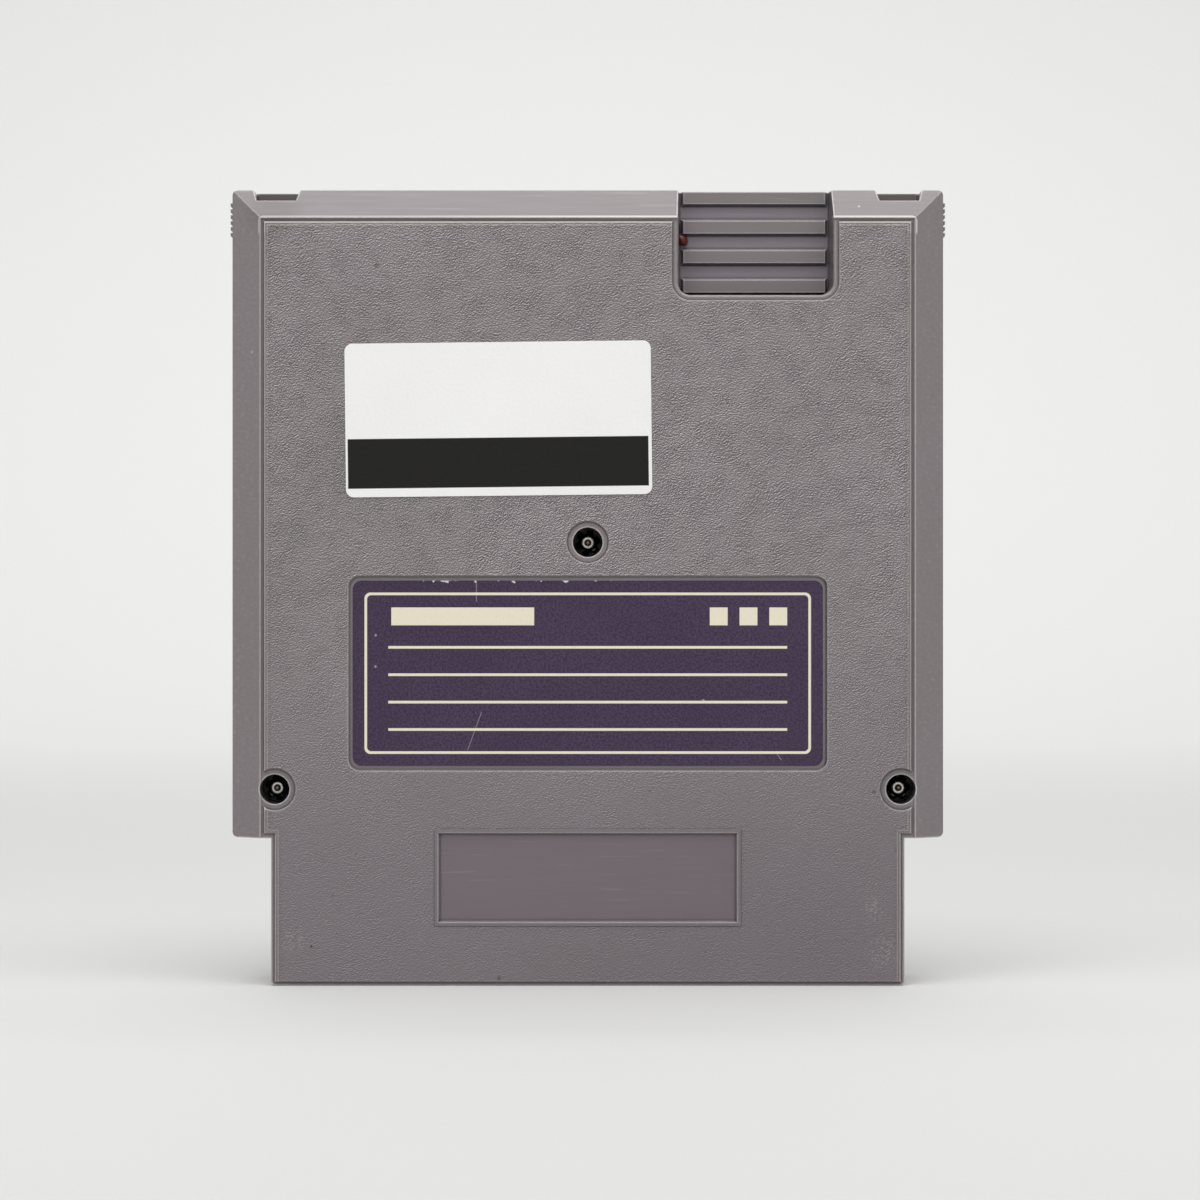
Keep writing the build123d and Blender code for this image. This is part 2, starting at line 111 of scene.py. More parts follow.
# Bare plate low on the panel, with the flanks of its raised rim measured in from the plate's outline
PLATE = (0.0, 18.2 * MM, 25.1 * MM, 7.5 * MM)
PLATE_RIM_OUTER = (-1.4 * MM, -1.1 * MM)
PLATE_RIM_INNER = (-0.25 * MM, -0.4 * MM)

# Grip column of the front face, which is smooth, and the finger pocket at its upper end
COLUMN_X = 28.2 * MM
COLUMN_HALF_WIDTH = 13.2 * MM
COLUMN_FOOT = 32.8 * MM
RIB_Y = -2.8 * MM
POCKET_FLOOR_Y = -1.9 * MM

# Small ridges on the sides, and the hook windows in the top edge with the tabs of the front half behind them
SIDE_GRIP_X = 59.7 * MM
WINDOW = (52.5 * MM, BACK_HIGH.z, 7.0 * MM, 5.0 * MM)
WINDOW_Y = -2.6 * MM

# Lower panel darkened as painted shade, grime by the top edge's left end, one dark pit, and pale scuffs in the
# lower corners
LOWER_PANEL = (78.0 * MM, 8.0 * MM)
GRIME = (-53.0 * MM, 130.5 * MM, 4.0 * MM)
GRIME_SOFTNESS = 2.5 * MM
PIT = (-46.4 * MM, 6.6 * MM, 0.2 * MM)
SCUFFS = (
    (-49.4 * MM, 7.4 * MM, 1.8 * MM),
    (49.6 * MM, 5.6 * MM, 2.4 * MM),
    (48.0 * MM, 13.0 * MM, 2.0 * MM),
)

# Screws and their wells, and the glints low on each head, which are painted highlights
WELL_RADIUS = 2.5 * MM
WELL_SOFTNESS = 0.1 * MM
WELL_MOUTH_Y = PANEL_Y + 0.35 * MM
SCREW_SEAT_Y = -0.9 * MM
HEAD_RADIUS = 2.1 * MM
HEAD_HEIGHT = 2.0 * MM
NOTCH_COUNT = 6
NOTCH_RADIUS = 0.5 * MM
SHANK_RADIUS = 1.34 * MM
SHANK_LENGTH = 6.4 * MM
TIP_LENGTH = 0.5 * MM
THREAD_PITCH = 0.8 * MM
THREAD_DEPTH = 0.2 * MM
BOSS_RADIUS = 1.12 * MM
BOSS_HEIGHT = 0.4 * MM
DIMPLE_RADIUS = 0.54 * MM
SCREW_SEGMENTS = 96
SCREW_TURNS = (12.0, 47.0, 30.0)
GLINT_ASIDE = 1.0 * MM
GLINT_DROP = 1.2 * MM
GLINT_SIZE = (0.34 * MM, 0.13 * MM, 0.1 * MM)
GLINT_TURN = 0.7

# Dried drip in the finger pocket, in the gap between the left wall and the second rib
DRIP_X = 16.25 * MM
DRIP_TAIL_X = 15.65 * MM
DRIP_Y = -2.55 * MM
DRIP_FOOT_Z = 124.85 * MM
DRIP_TOP_Z = 128.6 * MM
# Above these heights the drip's tail darkens, as painted shade behind the rib.
DRIP_DARK_Z = (DRIP_FOOT_Z + 1.5 * MM, DRIP_FOOT_Z + 2.2 * MM)
DRIP_RADIUS = 1.02 * MM
DRIP_TAIL_RADIUS = 0.13 * MM
DRIP_BULB_SHARE = 0.27
DRIP_WALL_X = 15.3 * MM
DRIP_FLOOR_Y = -1.88 * MM
DRIP_RINGS = 36
DRIP_SEGMENTS = 32

# Shapes on the purple label: its keyline, a heading bar with three squares beside it, and ruled lines
KEYLINE_INSET = 2.0 * MM
KEYLINE_RADII = (1.0 * MM, 0.7 * MM)
RULE_HALF_HEIGHT = 0.22 * MM
RULE_INSET = 6.0 * MM
RULE_DROPS = (5.2 * MM, 9.8 * MM, 14.4 * MM, 19.0 * MM)
HEADING_DROP = 6.0 * MM
HEADING_X = -21.0 * MM
HEADING_HALF_WIDTH = 12.0 * MM
HEADING_HALF_HEIGHT = 1.5 * MM
SQUARES_X = (22.0 * MM, 27.0 * MM, 32.0 * MM)

# Scuffed stretch of the label's upper edge, and faint scratches as fields with their turns
SCUFF_EDGE = (LABEL_CENTRE.x - 12.0 * MM, LABEL_HIGH.z, 16.0 * MM)
SCUFF_DEPTH = (-0.12 * MM, 0.5 * MM)
SCRATCHES = (
    (-19.0 * MM, 42.8 * MM, 0.035 * MM, 3.4 * MM, radians(-20)),
    (-18.7 * MM, 66.2 * MM, 0.04 * MM, 1.6 * MM, 0.0),
    (32.1 * MM, 38.5 * MM, 0.04 * MM, 0.7 * MM, radians(35)),
)

# Sticker band, measured from the sticker's centre before it is turned
STICKER_TURN = radians(0.65)
BAND_DROP = 7.3 * MM
BAND_SHIFT = -0.1 * MM
BAND_SIZE = (25.25 * MM, 4.17 * MM)

# Copper under the board's green coat
TRACK_PITCH = 2.5 * MM
TRACK_TOP = BOARD_FOOT + 29.0 * MM
BUS_SPACING = 0.64 * MM
BUS_FOOT = BOARD_FOOT + 48.0 * MM

# Floor that sweeps up into a backdrop, and the camera's sensor in millimetres
SWEEP_FRONT_Y = -5.0
SWEEP_BEND_Y = 0.9
SWEEP_RADIUS = 0.5
SWEEP_HEIGHT = 2.4
SWEEP_HALF_WIDTH = 4.0
SWEEP_STEPS = 24
SENSOR_WIDTH = 36.0


def rgb(red, green, blue):
    """A colour as a screen shows it, from 0 to 255, in linear light."""
    shares = (value / 255 for value in (red, green, blue))
    return tuple(s / 12.92 if s <= 0.04045 else ((s + 0.055) / 1.055) ** 2.4 for s in shares)


# Shader graphs


class Graph:
    """Adds shader nodes to a tree. What is fed to a socket is a number, a colour or another node's output."""

    def __init__(self, tree):
        self.tree = tree

    def feed(self, socket, value):
        if isinstance(value, NodeSocket):
            self.tree.links.new(value, socket)
        elif socket.type == "RGBA":
            socket.default_value = (*value[:3], 1.0)
        else:
            socket.default_value = value

    def feed_all(self, node, inputs):
        for name, value in inputs.items():
            self.feed(node.inputs[name], value)

    def node(self, kind, inputs=None, **settings):
        node = self.tree.nodes.new(kind)
        for name, value in settings.items():
            setattr(node, name, value)
        self.feed_all(node, inputs or {})
        return node

    def math(self, operation, *values):
        node = self.node("ShaderNodeMath", operation=operation)
        for socket, value in zip(node.inputs, values):
            self.feed(socket, value)
        return node.outputs[0]

    def chain(self, operation, first, *others):
        for value in others:
            first = self.math(operation, first, value)
        return first

    def most(self, *values):
        return self.chain("MAXIMUM", *values)

    def times(self, *values):
        return self.chain("MULTIPLY", *values)

    def minus(self, first, second):
        return self.math("SUBTRACT", first, second)

    def reach(self, across, up):
        """How far a point lies from another one that is across and up from it."""
        squares = [self.math("POWER", value, 2.0) for value in (across, up)]
        return self.math("SQRT", self.math("ADD", *squares))

    def fade(self, value, low, high, start=0.0, end=1.0):
        """A smooth step from start, where the value is at low, to end, where it is at high."""
        limits = {"Value": value, "From Min": low, "From Max": high, "To Min": start, "To Max": end}
        return self.node("ShaderNodeMapRange", limits, interpolation_type="SMOOTHSTEP").outputs["Result"]

    def ridge(self, value, centre, half_width):
        """A soft line where the value is near its centre."""
        away = self.math("ABSOLUTE", self.minus(value, centre))
        return self.fade(away, 1.5 * half_width, 0.5 * half_width)

    def layers(self, colour, *rows):
        """A colour with tints laid on in order. A row is a label, a mask, the tint's share and the tint."""
        for label, mask, share, tint in rows:
            node = self.node("ShaderNodeMix", data_type="RGBA", label=label)
            factor = mask if share == 1.0 else self.times(mask, share)
            for index, value in ((0, factor), (6, colour), (7, tint)):
                self.feed(node.inputs[index], value)
            colour = node.outputs[2]
        return colour

    def split(self, vector):
        return self.node("ShaderNodeSeparateXYZ", {"Vector": vector}).outputs

    def join(self, x, y, z):
        return self.node("ShaderNodeCombineXYZ", {"X": x, "Y": y, "Z": z}).outputs["Vector"]

    def turned(self, vector, angle):
        """X, Y and Z of a position that is turned about Y."""
        node = self.node("ShaderNodeVectorRotate", {"Vector": vector, "Angle": angle}, rotation_type="Y_AXIS")
        return self.split(node.outputs["Vector"])

    def shrunk(self, vector, length):
        """A position counted in steps of a length."""
        inputs = {"Vector": vector, "Scale": self.math("DIVIDE", 1.0, length)}
        return self.node("ShaderNodeVectorMath", inputs, operation="SCALE").outputs["Vector"]

    def noise(self, vector, detail=2.0, roughness=0.5):
        inputs = {"Vector": vector, "Scale": 1.0, "Detail": detail, "Roughness": roughness}
        return self.node("ShaderNodeTexNoise", inputs).outputs[0]

    def bump(self, height, distance, normal=None, strength=1.0):
        node = self.node("ShaderNodeBump", {"Height": height, "Distance": distance, "Strength": strength})
        if normal is not None:
            self.feed(node.inputs["Normal"], normal)
        return node.outputs["Normal"]


VECTOR_SOCKETS = ("Position", "Normal")


def socket_name(word):
    return word.replace("_", " ").title()


def new_group(builder):
    """A shader group that is named as its builder, with sockets for what the builder takes and gives."""
    tree = bpy.data.node_groups.new(builder.__name__, "ShaderNodeTree")
    graph = Graph(tree)

    def add_sockets(side, names):
        for name in names:
            kind = "NodeSocketVector" if name in VECTOR_SOCKETS else "NodeSocketFloat"
            tree.interface.new_socket(name, in_out=side, socket_type=kind)

    names = [socket_name(word) for word in signature(builder).parameters if word != "graph"]
    add_sockets("INPUT", names)
    given = graph.node("NodeGroupInput").outputs
    results = builder(graph, *(given[name] for name in names))
    add_sockets("OUTPUT", results)
    graph.node("NodeGroupOutput", results)
    return tree


def printed_field(graph, position, centre_x, centre_z, half_width, half_height, corner, turn, softness):
    """Mask of a rectangle with rounded corners on the back, and the depth inside its outline."""
    x, _, z = graph.split(position)
    across = graph.minus(x, centre_x)
    up = graph.minus(z, centre_z)
    cosine = graph.math("COSINE", turn)
    sine = graph.math("SINE", turn)
    along = graph.math("MULTIPLY_ADD", across, cosine, graph.times(up, sine))
    over = graph.minus(graph.times(up, cosine), graph.times(across, sine))
    past_side = graph.minus(graph.math("ABSOLUTE", along), graph.minus(half_width, corner))
    past_end = graph.minus(graph.math("ABSOLUTE", over), graph.minus(half_height, corner))
    outer = graph.reach(graph.most(past_side, 0.0), graph.most(past_end, 0.0))
    inner = graph.math("MINIMUM", graph.most(past_side, past_end), 0.0)
    inside = graph.minus(corner, graph.math("ADD", outer, inner))
    return {"Mask": graph.fade(inside, graph.times(softness, -1.0), softness), "Inside": inside}


def round_spot(graph, position, centre_x, centre_z, radius, softness):
    """Mask of a disc on the back."""
    x, _, z = graph.split(position)
    away = graph.reach(graph.minus(x, centre_x), graph.minus(z, centre_z))
    return {"Mask": graph.fade(away, graph.math("ADD", radius, softness), graph.minus(radius, softness))}


def moulded_grain(graph, position, grain_size, lean):
    """Leathery grain in leaning pebbles, how far they slope, and where they stand out more."""
    x, y, z = graph.turned(position, lean)
    steps = graph.shrunk(graph.join(graph.times(x, 0.82), y, z), grain_size)
    above = graph.node("ShaderNodeVectorMath", operation="ADD")
    graph.feed(above.inputs[0], steps)
    graph.feed(above.inputs[1], (0.0, 0.0, 0.4))
    pebbles = graph.noise(steps, 1.0, 0.4)
    pebbles_above = graph.noise(above.outputs["Vector"], 1.0, 0.4)
    patches = graph.noise(graph.shrunk(position, graph.times(grain_size, 14.0)), 2.0, 0.6)
    return {
        "Height": graph.fade(pebbles, 0.2, 0.8),
        "Slope": graph.minus(pebbles, pebbles_above),
        "Patches": graph.fade(patches, 0.36, 0.66),
    }


def scattered_soil(graph, position, spacing, speck_size):
    """Light and dark specks strewn at a spacing, and a broad smudge."""
    steps = {"Vector": graph.shrunk(position, spacing), "Scale": 1.0}
    cells = graph.node("ShaderNodeTexVoronoi", steps).outputs
    away = graph.times(cells["Distance"], spacing)
    chance, kind, _ = graph.node("ShaderNodeSeparateColor", {"Color": cells["Color"]}).outputs
    size = graph.times(speck_size, chance)
    speck = graph.fade(away, graph.times(size, 0.6), size, 1.0, 0.0)
    smudge = graph.noise(graph.shrunk(position, graph.times(spacing, 4.0)), 2.0, 0.6)
    return {
        "Light": graph.times(speck, graph.math("LESS_THAN", kind, 0.4)),
        "Dark": graph.times(speck, graph.math("GREATER_THAN", kind, 0.75)),
        "Smudge": graph.fade(smudge, 0.35, 0.7),
    }


def rounded_edges(graph, radius, reach, corner_reach):
    """Normal with every edge rounded, a mask of outer edges that is strongest where they face up, as a painted
    highlight, and a mask of inner corners.
    """
    look = {"samples": 2, "only_local": True}
    within = graph.node("ShaderNodeAmbientOcclusion", {"Distance": reach}, inside=True, **look)
    outside = graph.node("ShaderNodeAmbientOcclusion", {"Distance": corner_reach}, **look)
    normal = graph.node("ShaderNodeBevel", {"Radius": radius}, samples=2).outputs["Normal"]
    # Edges that face up get more of the pale line: painted highlight from the light above.
    rise = graph.fade(graph.split(normal)[2], -0.5, 0.35, 0.15, 1.0)
    return {
        "Normal": normal,
        "Outer": graph.times(graph.fade(within.outputs["AO"], 0.97, 0.66), rise),
        "Inner": graph.fade(outside.outputs["AO"], 0.88, 0.58),
    }


def fine_lines(graph, position, lean, length, thickness, threshold):
    """Long thin scratches or brush lines that lean at an angle."""
    sizes = (length, thickness, thickness)
    steps = [graph.math("DIVIDE", value, size) for value, size in zip(graph.turned(position, lean), sizes)]
    tone = graph.noise(graph.join(*steps), 2.0, 0.6)
    return {"Mask": graph.fade(tone, threshold, graph.math("ADD", threshold, 0.06)), "Tone": tone}


class Coat(Graph):
    """A new material with a Principled shader, and what is laid on it by the position on the part."""

    def __init__(self, name):
        self.material = bpy.data.materials.new(name)
        self.material.use_nodes = True
        super().__init__(self.material.node_tree)
        self.tree.nodes.clear()
        self.shader = self.node("ShaderNodeBsdfPrincipled")
        self.node("ShaderNodeOutputMaterial", {"Surface": self.shader.outputs["BSDF"]})
        self.position = self.node("ShaderNodeTexCoord").outputs["Object"]

    def group(self, builder, **inputs):
        """What a shared group puts out. The group is built when it is first asked for."""
        tree = bpy.data.node_groups.get(builder.__name__) or new_group(builder)
        node = self.node("ShaderNodeGroup", node_tree=tree)
        if "Position" in node.inputs:
            inputs.setdefault("position", self.position)
        self.feed_all(node, {socket_name(word): value for word, value in inputs.items()})
        return node.outputs

    def field(self, x, z, half_width, half_height, radius=0.0, turn=0.0, softness=0.05 * MM, **others):
        """A printed field with its own place and size."""
        return self.group(
            printed_field, centre_x=x, centre_z=z, half_width=half_width, half_height=half_height,
            corner=radius, turn=turn, softness=softness, **others,
        )

    def spot(self, x, z, radius, softness=0.05 * MM):
        """The mask of a round spot."""
        return self.group(round_spot, centre_x=x, centre_z=z, radius=radius, softness=softness)["Mask"]

    def soil(self, spacing, speck_size):
        return self.group(scattered_soil, spacing=spacing, speck_size=speck_size)

    def clouds(self, size, detail=2.0, roughness=0.5):
        """Noise in blots of a size."""
        return self.noise(self.shrunk(self.position, size), detail, roughness)

    def place(self):
        return self.split(self.position)

    def shade(self, colour, roughness, normal=None, metallic=0.0, specular=0.5):
        inputs = {"Base Color": colour, "Roughness": roughness, "Metallic": metallic}
        self.feed_all(self.shader, {**inputs, "Specular IOR Level": specular})
        if normal is not None:
            self.feed(self.shader.inputs["Normal"], normal)

    def dress(self, *nodes):
        """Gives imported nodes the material."""
        for node in nodes:
            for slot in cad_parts[node].material_slots:
                slot.material = self.material


# Meshes


def middle(values):
    return (min(values) + max(values)) / 2


def screw_axes():
    """X and Z of each screw's axis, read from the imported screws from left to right."""
    points = [vertex.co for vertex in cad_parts["screws"].data.vertices]
    third = BACK_HIGH.x / 3
    sets = (
        [p for p in points if p.x < -third],
        [p for p in points if abs(p.x) <= third],
        [p for p in points if p.x > third],
    )
    return [(middle([p.x for p in group]), middle([p.z for p in group])) for group in sets]


def new_object(name, mesh, material):
    """A shown smooth mesh."""
    data = bpy.data.meshes.new(name)
    mesh.to_mesh(data)
    mesh.free()
    data.materials.append(material)
    data.shade_smooth()
    made = bpy.data.objects.new(name, data)
    bpy.context.scene.collection.objects.link(made)
    return made


def lathe(mesh, rings, segments):
    """Faces between rings of points, closed by one face at each end. A ring is its points in order."""
    made = [[mesh.verts.new(point) for point in ring] for ring in rings]
    for low, high in zip(made, made[1:]):
        for n in range(segments):
            after = (n + 1) % segments
            mesh.faces.new((low[n], low[after], high[after], high[n]))
    mesh.faces.new(made[0][::-1])
    mesh.faces.new(made[-1])


# Properties


def colour_of(name, description, *screen):
    """A colour property, with its default as a screen shows it."""
    return FloatVectorProperty(
        name=name, description=description, subtype="COLOR", default=rgb(*screen), min=0.0, max=1.0
    )


def amount(name, description, unit, default, least=0.0):
    """A property for a number, with its unit."""
    return FloatProperty(name=name, description=description, unit=unit, default=default, min=least)


class CartridgeFinish(PropertyGroup):
    """Colours and grain of the cartridge itself."""

    shell_colour: colour_of("Shell", "Grey of the moulded plastic", 136, 127, 130)
    soil_colour: colour_of("Soil", "Brown of the dirt on the panel's rim and the top edge", 96, 87, 80)
    grain_size: amount("Grain size", "Width of one pebble of the grain", "LENGTH", 0.228 * MM, 0.05 * MM)
    grain_depth: amount("Grain depth", "Height of the grain from valley to top", "LENGTH", 0.36 * MM)
    grain_lean: FloatProperty(
        name="Grain lean", description="Angle at which the pebbles lie", subtype="ANGLE", default=radians(30),
    )
    # The pale line along outer edges is rubbing, and a painted highlight where they face up.
    edge_reach: amount("Edge rubbing and highlight", "Width of the pale line along worn edges", "LENGTH", 0.28 * MM)
    # The dark line along inner corners is dirt and painted shade.
    corner_reach: amount("Corner dirt and shade", "Width of the dark line along inner corners", "LENGTH", 0.42 * MM)
    edge_radius: amount("Edge radius", "Rounding that the shading gives to moulded edges", "LENGTH", 0.2 * MM)
    label_colour: colour_of("Label", "Purple of the printed back label", 52, 36, 62)
    print_colour: colour_of("Print", "Cream of the fields on the label", 238, 229, 206)
    sticker_colour: colour_of("Sticker", "White of the paper sticker", 248, 246, 245)
    band_colour: colour_of("Band", "Black of the sticker's band", 19, 18, 16)
    # Bright metal of the worn bosses, and of the glints, which are painted highlights.
    screw_colour: colour_of("Screws", "Bright metal where the screws' dark plating is worn", 226, 223, 214)
    drip_colour: colour_of("Drip", "Red brown of the dried drip in the pocket", 98, 24, 8)


class CartridgeStage(PropertyGroup):
    """Floor, light and camera."""

    floor_colour: colour_of("Floor", "Pale colour of floor and backdrop", 221, 220, 219)
    ambient: amount("Ambient", "Brightness of the white room", "NONE", 0.6)
    key_power: amount("Key light", "Power of the softbox overhead", "POWER", 1.26)
    fill_power: amount("Fill light", "Power of the softbox above the camera", "POWER", 0.84)
    wash_power: amount("Backdrop light", "Power of the light on the backdrop", "POWER", 8.0)
    far_power: amount("Far side light", "Power of the softbox on the front face", "POWER", 2.0)
    horizon: amount("Horizon", "Brightness of the room where it is seen past the floor", "NONE", 0.44)
    lens: amount("Lens", "Focal length on a 36 mm sensor, in millimetres", "NONE", 98.3, 1.0)
    camera_distance: amount("Distance", "From the camera to the back panel", "LENGTH", 550.0 * MM, 0.1)
    camera_height: amount("Height", "Camera above the floor", "LENGTH", 64.8 * MM)
    camera_shift: amount("Aside", "Camera right of the middle", "LENGTH", 2.06 * MM, -1.0)


# Pieces


class ShellCoat(Coat):
    """The shell's plastic. Its marks come as rows for layers, and each keeps to some faces."""

    def __init__(self, name):
        super().__init__(name)
        self.across, self.depth, self.up = self.place()
        self.aside = self.math("ABSOLUTE", self.across)
        upper = self.span(0.0, PANEL_SHOULDER, PANEL_TOP, PANEL_HALF_WIDTH)
        neck = self.span(0.0, NECK_FOOT - NECK_OVERLAP, PANEL_SHOULDER + NECK_OVERLAP, NECK_HALF_WIDTH)
        self.inside = self.most(upper["Inside"], neck["Inside"])
        self.column = self.span(COLUMN_X, COLUMN_FOOT, BACK_HIGH.z, COLUMN_HALF_WIDTH)["Mask"]
        self.back_face = self.level(PANEL_Y)
        self.back_side = self.fade(self.depth, -6 * MM, -7 * MM)

        # Grain lies on the two broad faces and dies out towards the panel's rim
        back_grain = self.times(self.back_face, self.fade(self.inside, *BACK_GRAIN))
        front_face = self.times(self.level(FRONT_Y), self.minus(1.0, self.column))
        front_grain = self.times(front_face, self.fade(self.inside, *FRONT_GRAIN))
        self.grained = self.most(back_grain, front_grain)
        self.smooth = self.minus(1.0, self.grained)

    def span(self, x, foot, top, half_width):
        """A field between two heights."""
        return self.field(x, (foot + top) / 2, half_width, (top - foot) / 2)

    def level(self, depth, tolerance=LEVEL_TOLERANCE):
        """The faces that lie at a depth."""
        return self.math("COMPARE", self.depth, depth, tolerance)

    def grain(self, slope, handled):
        """Paler grained faces, with pebbles lit from above and shaded below: painted highlights and painted
        shade.
        """
        lit = self.times(self.fade(slope, *LIT_SLOPE), handled)
        shaded = self.times(self.fade(slope, *SHADED_SLOPE), handled)
        return (
            ("grained_faces", handled, 0.14, rgb(170, 161, 164)),
            ("lit_pebbles", lit, 1.0, rgb(222, 214, 216)),
            ("shaded_pebbles", shaded, 0.84, rgb(76, 68, 71)),
        )

    def smudges(self, smudge, soil_colour):
        """Smudges, a lower panel darkened as painted shade, grime, a browner rim, and drag lines on the smooth
        faces.
        """
        fade, times = self.fade, self.times
        lines = self.group(fine_lines, lean=0.0, length=14 * MM, thickness=0.5 * MM, threshold=0.64)
        on_panel = fade(self.inside, -0.3 * MM, 0.3 * MM, 0.3, 1.0)
        # Painted shade: darker towards the bottom of the panel, and a little more to the right.
        lower = times(
            fade(self.up, *LOWER_PANEL),
            fade(self.across, -40 * MM, 40 * MM, 0.94, 1.09),
            self.most(on_panel, fade(self.depth, 0.0, 2 * MM)),
        )
        grime = times(self.spot(*GRIME, GRIME_SOFTNESS), fade(self.depth, 0.0, -2 * MM))
        rim = times(fade(self.inside, 1.6 * MM, 0.0), self.back_face)
        shallow = fade(self.depth, -5 * MM, -2 * MM, 1.0, 0.2)
        streaks = times(fade(lines["Tone"], 0.35, 0.65, 1.0, 0.0), self.smooth, shallow)
        return (
            ("warm_patches", self.soil(13 * MM, 0.1 * MM)["Smudge"], 0.3, rgb(126, 122, 119)),
            ("smudges", smudge, 0.12, rgb(122, 114, 118)),
            ("painted_lower_shade", lower, 0.53, rgb(100, 91, 99)),
            ("top_edge_grime", grime, 0.3, soil_colour),
            ("panel_rim", rim, 0.4, soil_colour),
            ("drag_streaks", streaks, 0.2, rgb(104, 97, 99)),
            ("drag_lines", times(lines["Mask"], self.smooth), 0.2, rgb(176, 170, 170)),
        )

    def pocket(self):
        """Darker rib faces, shade under and beside the ribs, and a bluer floor between them."""
        fade, times = self.fade, self.times
        facing = self.split(self.node("ShaderNodeNewGeometry").outputs["Normal"])
        pocket = times(self.column, fade(self.depth, POCKET_FLOOR_Y + 0.1 * MM, POCKET_FLOOR_Y))
        under_ribs = times(fade(facing[2], -0.3, -0.5), fade(self.depth, RIB_Y - 0.2 * MM, RIB_Y))
        beside_ribs = fade(facing[0], -0.5, -0.8, 0.0, 0.55)
        floor = times(pocket, fade(self.depth, RIB_Y + 0.1 * MM, RIB_Y + 0.3 * MM))
        return (
            ("rib_faces", times(self.column, self.level(RIB_Y)), 0.4, rgb(104, 97, 98)),
            ("rib_shade", times(pocket, self.most(under_ribs, beside_ribs)), 1.0, rgb(24, 20, 20)),
            ("pocket_floor", floor, 0.22, rgb(134, 124, 150)),
        )

    def edges(self, outer, inner):
        """The bare plate, dirt and painted shade in inner corners, rubbing and painted highlight on outer edges,
        and painted highlights along the panel.
        """
        fade, times, inside = self.fade, self.times, self.inside
        plate = self.field(*PLATE)
        plate_rim = times(
            fade(plate["Inside"], *PLATE_RIM_OUTER), fade(plate["Inside"], *PLATE_RIM_INNER), self.back_side
        )
        off_rim = fade(plate_rim, 0.0, 1.0, 1.0, 0.2)
        off_sides = fade(self.aside, SIDE_GRIP_X - 0.2 * MM, SIDE_GRIP_X, 1.0, 0.2)
        # Pale line on outer edges: rubbing, and a painted highlight where the edges face up.
        wear = times(outer, off_sides, fade(self.depth, -2 * MM, 0.0, 1.0, 0.6), off_rim)
        near_top = fade(self.up, PANEL_TOP - 2.5 * MM, PANEL_TOP - 1.5 * MM)
        # Thin pale lines painted as highlights on the panel's rounded edges, strongest near the top, where the
        # light above catches them.
        step_line = times(self.ridge(inside, PANEL_STEP_INSET, PANEL_LINE), 0.6)
        panel_lines = times(
            self.most(self.ridge(inside, PANEL_EDGE_INSET, PANEL_LINE), step_line),
            fade(near_top, 0.0, 1.0, 0.3, 0.75),
            self.level(PANEL_Y, 0.25 * MM),
        )
        bevel_line = times(
            self.ridge(inside, BEVEL_INSET, PANEL_LINE),
            near_top,
            fade(self.across, -35 * MM, 5 * MM, 0.45, 0.9),
            self.back_side,
        )
        return (
            ("bare_plate", times(plate["Mask"], self.back_side), 0.4, rgb(110, 95, 104)),
            # Inner corners darkened: dirt and painted shade.
            ("corner_dirt_and_shade", times(inner, off_sides), 0.95, rgb(22, 18, 17)),
            ("rubbed_edges_and_highlight", wear, 1.0, rgb(236, 228, 227)),
            ("panel_lines", self.most(panel_lines, bevel_line), 1.0, rgb(216, 208, 204)),
        )

    def specks(self, light, dark):
        """Specks all over, pale scuffs in the panel's lower corners, and the pit."""
        scuffed = self.most(*[self.spot(x, z, radius, radius / 2) for x, z, radius in SCUFFS])
        flecks = self.fade(self.clouds(0.45 * MM, 2.0, 0.7), 0.5, 0.68)
        pit = self.times(self.spot(*PIT), self.back_face)
        return (
            ("light_specks", light, 0.6, rgb(196, 190, 188)),
            ("pale_scuffs", self.times(flecks, self.back_face, scuffed), 0.3, rgb(186, 180, 180)),
            ("dark_specks", self.most(self.times(dark, 0.5), pit), 1.0, rgb(62, 56, 54)),
        )

    def hollows(self):
        """Dirt and painted shade behind the hook windows and down the screw wells."""
        fade, depth = self.fade, self.depth
        windows = self.times(
            self.field(*WINDOW, position=self.join(self.aside, depth, self.up))["Mask"],
            fade(depth, WINDOW_Y - 1.2 * MM, WINDOW_Y),
            fade(depth, 0.5 * MM, 0.0),
        )
        wells = self.times(
            self.most(*[self.spot(x, z, WELL_RADIUS, WELL_SOFTNESS) for x, z in screw_axes()]),
            fade(depth, WELL_MOUTH_Y, WELL_MOUTH_Y + MM),
            fade(depth, SCREW_SEAT_Y + 0.6 * MM, SCREW_SEAT_Y + 0.2 * MM),
        )
        # Both darkenings are dirt and painted shade in these hollows.
        return (
            ("window_dirt_and_shade", windows, 0.75, rgb(76, 68, 62)),
            ("well_dirt_and_shade", wells, 0.9, rgb(22, 20, 19)),
        )


